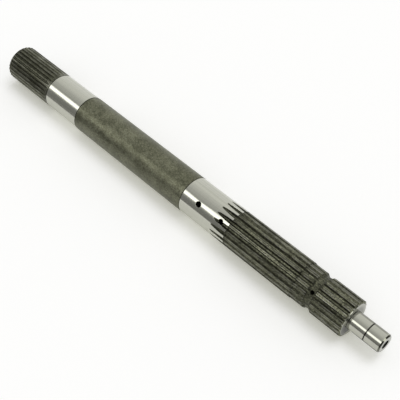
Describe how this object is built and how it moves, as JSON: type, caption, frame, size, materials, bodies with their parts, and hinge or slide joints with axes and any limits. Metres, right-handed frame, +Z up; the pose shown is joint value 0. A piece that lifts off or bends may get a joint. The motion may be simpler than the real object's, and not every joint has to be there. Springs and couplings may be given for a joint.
{
  "type": "input shaft",
  "caption": "Splined steel input shaft with ground journals, a dark plain shank, a pilot at its front end, a ring groove and a drilled oil gallery; carries drive through a transmission.",
  "frame": {"origin": "middle of the shaft's length, on the surface that it lies on, straight below its axis", "axes": "+X along the shaft's axis from the rear spline to the pilot, +Z up, -Y towards the side that the oil holes face"},
  "size_m": [0.4585, 0.0354, 0.0354],
  "materials": {
    "steel": "dark phosphate on the shank and teeth, ground bright on the journals and the pilot"
  },
  "bodies": {
    "root": {"input_shaft": "steel"}
  },
  "joints": []
}
